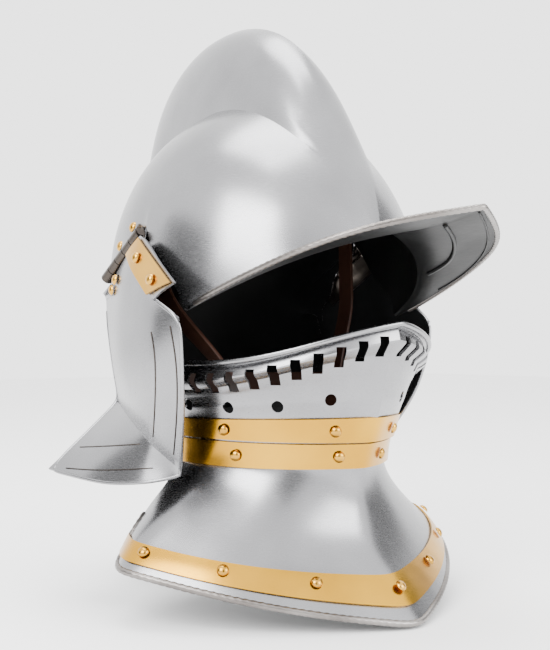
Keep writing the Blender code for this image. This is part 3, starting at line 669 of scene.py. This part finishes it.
def half_section(place):
    """Points of the lame from the middle of its front back to one rear end."""
    drop, reach, width, setback, side_drop, weight_out, weight_fore = section(place)
    front = Vector((0, -reach * REACH, -drop * DROP))
    side = Vector((width * WIDTH, -setback * REACH, -side_drop * DROP))
    bend = Vector((weight_out * side.x, side.y + weight_fore * (front.y - side.y), 0))
    sweep = SWEEP_AT_LIP - SWEEP_LOST * min(place, SWEEP_STEADY)
    points = []
    for k in range(HALF_COLUMNS + 1):
        t = k / HALF_COLUMNS
        point = front * (1 - t) ** 2 + bend * 2 * t * (1 - t) + side * t * t
        share = max((point.y - side.y) / (front.y - side.y), 0.0)
        point.z = side.z + (front.z - side.z) * share ** sweep
        points.append(point)
    for k in range(1, REAR_COLUMNS + 1):
        t = k / REAR_COLUMNS
        points.append(Vector((side.x * (1 - REAR_DRAW * t * t), side.y + REAR * t, side.z)))
    return points


print("the lame is", 2 * WIDTH * 1000, "mm wide at its lip")

# %% [markdown]
# The grid's points are moved onto the sections first. Only then do the normals point away from
# the plate's face, and the ridge can be pushed out along them. The wall comes last, inwards.

# %% Upper lame
columns = 2 * (HALF_COLUMNS + REAR_COLUMNS)
bpy.ops.object.select_all(action="DESELECT")
bpy.ops.mesh.primitive_grid_add(x_subdivisions=columns, y_subdivisions=ROWS, size=1)
lame = bpy.context.object
lame.name = lame.data.name = "upper_lame"
places = [LOWEST_PLACE * (k / ROWS) ** CROWD_AT_LIP for k in range(ROWS + 1)]
lip = []
for row, place in enumerate(places):
    half = half_section(place)
    full = [Vector((-p.x, p.y, p.z)) for p in reversed(half[1:])] + half
    for column, point in enumerate(full):
        lame.data.vertices[row * (columns + 1) + column].co = point
    if row == 0:
        lip = half
only(lame)
bpy.ops.object.mode_set(mode="EDIT")
bpy.ops.mesh.select_all(action="SELECT")
bpy.ops.mesh.normals_make_consistent(inside=False)
bpy.ops.object.mode_set(mode="OBJECT")
facing = sum(v.normal.dot(Vector((v.co.x, v.co.y, 0))) for v in lame.data.vertices)
outward = 1 if facing > 0 else -1
normals = [Vector(v.normal) * outward for v in lame.data.vertices]
for row, place in enumerate(places):
    for column in range(columns + 1):
        index = row * (columns + 1) + column
        lame.data.vertices[index].co += normals[index] * RIDGE_HEIGHT * between(LAME_RIDGE, place)
lip_line = [lame.data.vertices[column].co - normals[column] * WALL / 2
            for column in range(columns + 1)]
if outward < 0:
    lame.data.flip_normals()
bpy.ops.object.modifier_add(type="SOLIDIFY")
lame.modifiers[-1].thickness = WALL
lame.modifiers[-1].offset = -1.0
bpy.ops.object.modifier_apply(modifier=lame.modifiers[-1].name)
print("lame faces", len(lame.data.polygons))

# %% [markdown]
# The slots are punched from outside. One cutter block is made at its size, copied along the lip
# at the real spacing, and all the blocks and the pins for the breaths are joined, so that one
# boolean makes every hole. Cutting hole by hole would take far longer.

# %% Slots and breaths
SLOT = (0.0064, 0.0128)
SLOT_START, SLOT_PITCH, SLOT_BELOW_LIP, SLOTS = 0.0115, 0.0150, 0.0130, 10
BREATHS = ((0.0455, 0.0390), (0.087, 0.0330), (0.125, 0.0290), (0.159, 0.0275))
BREATH_RADIUS, BREATH_ROUND = 0.0038, 28
CUT_DEPTH, PIN_DEPTH = 0.024, 0.05


def along_lip(distance):
    """Point on the lip at a distance from the middle, and the direction that it faces."""
    gone = 0.0
    for a, b in zip(lip, lip[1:]):
        step = (b - a).length
        if gone + step >= distance:
            break
        gone += step
    point, along = a.lerp(b, (distance - gone) / step), (b - a).normalized()
    facing = Vector((along.y, -along.x, 0)).normalized()
    return point, facing if facing.dot(Vector((point.x, point.y, 0))) > 0 else -facing


holes = [(SLOT_START + SLOT_PITCH * k, SLOT_BELOW_LIP, True) for k in range(SLOTS)]
holes += [(distance, below, False) for distance, below in BREATHS]
cutters = []
for side in (-1, 1):
    for distance, below, slot in holes:
        place, facing = along_lip(distance)
        place = Vector((side * place.x, place.y, place.z - below))
        facing = Vector((side * facing.x, facing.y, 0))
        turn = facing.to_track_quat("Z", "Y").to_euler()
        if slot:
            bpy.ops.mesh.primitive_cube_add(size=1, location=place, rotation=turn)
            bpy.ops.transform.resize(value=(*SLOT, CUT_DEPTH), orient_type="LOCAL")
        else:
            bpy.ops.mesh.primitive_cylinder_add(vertices=BREATH_ROUND, radius=BREATH_RADIUS,
                                                depth=PIN_DEPTH, location=place, rotation=turn)
        cutters.append(bpy.context.object)
print("holes to cut:", len(cutters))

# %% Cutting the holes
for cutter in cutters:
    cutter.select_set(True)
bpy.ops.object.join()
punch = bpy.context.object
only(lame)
bpy.ops.object.modifier_add(type="BOOLEAN")
lame.modifiers[-1].object = punch
lame.modifiers[-1].solver = "EXACT"
bpy.ops.object.modifier_apply(modifier=lame.modifiers[-1].name)
bpy.data.objects.remove(punch, do_unlink=True)
paint_inside(lame)
bpy.ops.object.shade_smooth_by_angle(angle=math.radians(17))
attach(lame, "skull")
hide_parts("buffe_upper_lame")
roll("lip_rolled_edge", lip_line, 0.0018, steel, "skull", step=0.002, sides=10)

# %% [markdown]
# The middle lame shows as a narrow strip between the brass bands, and the gorget flares from it
# over the shoulders and comes to a point in front. Neither is pierced, so both are smoothed as
# the skull is. Only the gorget's lower edge is free, and it is rolled and filed into a rope.

# %% Middle lame and gorget
FREE_EDGE_BELOW, SHEET_TURN = -0.145, 45
for node, name in (("buffe_middle_lame", "middle_lame"), ("gorget_plate", "neck_plate")):
    plate = merged_copy(node, name)
    free_edge = node == "gorget_plate"
    if free_edge:
        rim = rim_path(plate, lambda p: p.z < FREE_EDGE_BELOW, (0, 0, -0.1))
    crease(plate, SHEET_TURN)
    paint_inside(plate)
    smooth(plate)
    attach(plate, "skull")
    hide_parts(node)
    if free_edge:
        roll("gorget_roped_edge", spline(rim), 0.0021, roped_steel, "skull",
             rope=0.09, pitch=0.0050, step=0.0012, sides=10)

# %% [markdown]
# The bands, the border and the ear plates are brass sheet, riveted on. They could be cut out of
# the steel below with a little more thickness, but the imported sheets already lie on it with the
# right gap. So they keep their shape, and a subdivision surface takes out the facets.

# %% Brass sheets
BRASS_SHEETS = (("brass_band_upper", "band_upper", "skull"),
                ("brass_band_lower", "band_lower", "skull"),
                ("gorget_border", "border_brass", "skull"),
                ("ear_plate_right", "ear_brass_right", "cheek_right"),
                ("ear_plate_left", "ear_brass_left", "cheek_left"))
for node, name, body in BRASS_SHEETS:
    band = merged_copy(node, name)
    crease(band, SHEET_TURN)
    band.data.materials.append(brass)
    smooth(band)
    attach(band, body)
    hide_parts(node)
    print(name, "faces", len(band.data.polygons))

# %% [markdown]
# A rivet head is hammered into a low dome. It could be half a sphere, but a real head is flatter.
# So a sphere is cut just above its middle and pressed flat, and the one head is copied to the
# place and tilt of every packed rivet.

# %% One rivet head
RIVET_RADIUS, RIVET_HEIGHT = 0.0038, 0.0027
CUT_ABOVE_MIDDLE, FLATNESS = 0.0003, RIVET_HEIGHT / RIVET_RADIUS
bpy.ops.object.select_all(action="DESELECT")
bpy.ops.mesh.primitive_uv_sphere_add(segments=24, ring_count=14, radius=RIVET_RADIUS,
                                     location=(0, 0, 0))
head = bpy.context.object
bpy.ops.object.mode_set(mode="EDIT")
bpy.ops.mesh.select_all(action="SELECT")
bpy.ops.mesh.bisect(plane_co=(0, 0, CUT_ABOVE_MIDDLE), plane_no=(0, 0, 1), clear_inner=True,
                    use_fill=True)
bpy.ops.mesh.select_all(action="SELECT")
bpy.ops.transform.resize(value=(1, 1, FLATNESS))
bpy.ops.transform.translate(value=(0, 0, -CUT_ABOVE_MIDDLE * FLATNESS))
bpy.ops.object.mode_set(mode="OBJECT")
bpy.ops.object.shade_smooth_by_angle(angle=math.radians(50))
head.data.materials.append(rivet_brass)
print("rivet head:", 2000 * RIVET_RADIUS, "mm across")


# %% Rivet heads in their places
def rivet_place(node):
    """Centre of a packed rivet's flat foot and the direction that its head points."""
    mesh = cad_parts[node].data
    feet = {}
    for face in mesh.polygons:
        key = tuple(round(value, 2) for value in face.normal)
        feet.setdefault(key, []).append(face)
    foot = max(feet.values(), key=lambda faces: sum(f.area for f in faces))
    area = sum(f.area for f in foot)
    centre = sum((f.center * f.area for f in foot), Vector()) / area
    return centre, -sum((f.normal * f.area for f in foot), Vector()).normalized()


rivets = [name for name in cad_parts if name.startswith("rivet")]
for name in rivets:
    centre, axis = rivet_place(name)
    mesh = head.data.copy()
    tilt = axis.to_track_quat("Z", "Y").to_matrix().to_4x4()
    mesh.transform(Matrix.Translation(centre) @ tilt)
    rivet = bpy.data.objects.new(name.replace("rivet", "domed_head"), mesh)
    bpy.context.scene.collection.objects.link(rivet)
    on_cheek = "hinge_lower" in name or "ear" in name
    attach(rivet, ("cheek_right" if "right" in name else "cheek_left") if on_cheek else "skull")
    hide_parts(name)
bpy.data.objects.remove(head, do_unlink=True)
print("rivet heads", len(rivets))

# %% [markdown]
# The hinge is sheet steel curled round a pin. It could be one tube, but then it couldn't open, so
# the two leaves and the pin stay apart and ride on their own bodies. The leaves lie behind the
# plates and are painted with them, and only the barrel shows as worn steel.

# %% Hinges
PAINTED_WITHIN, KNUCKLE_TURN = 0.0985, 50
for side in ("right", "left"):
    for node, body in ((f"hinge_upper_leaf_{side}", "skull"),
                       (f"hinge_lower_leaf_{side}", f"cheek_{side}"),
                       (f"hinge_pin_{side}", "skull")):
        leaf = merged_copy(node, node.replace("hinge", "barrel"))
        crease(leaf, KNUCKLE_TURN)
        leaf.data.materials.append(hinge_steel)
        leaf.data.materials.append(black_paint)
        for face in leaf.data.polygons:
            face.material_index = 1 if abs(face.center.x) < PAINTED_WITHIN else 0
        smooth(leaf)
        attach(leaf, body)
        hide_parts(node)
    print("hinge on the", side)

# %% [markdown]
# The straps are plain brown leather. Leather has no sharp corners, so the edges are only half
# creased, and the subdivision surface rounds them.

# %% Straps
STRAP_TURN, HALF_CREASED = 50, 0.6
for node in ("chin_strap", "nape_strap"):
    strap = merged_copy(node, node + "_leather")
    crease(strap, STRAP_TURN, HALF_CREASED)
    strap.data.materials.append(leather)
    smooth(strap)
    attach(strap, "skull")
    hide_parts(node)
    print(node, "faces", len(strap.data.polygons))

# %% [markdown]
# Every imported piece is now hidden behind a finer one, but it stays in the model for its weight
# and its collisions. It gets the finish of its own metal or leather all the same, so that no
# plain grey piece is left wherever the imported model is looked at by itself.

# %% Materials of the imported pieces
for name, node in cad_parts.items():
    if name.startswith("rivet"):
        finish = rivet_brass
    elif name.startswith(("ear_plate", "brass")) or name == "gorget_border":
        finish = brass
    elif name.startswith("hinge"):
        finish = hinge_steel
    elif name.endswith("strap"):
        finish = leather
    else:
        finish = steel
    for index in range(len(node.data.materials)):
        node.material_slots[index].material = finish
print("unreplaced packed pieces:", sum(not node.hide_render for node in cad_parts.values()))
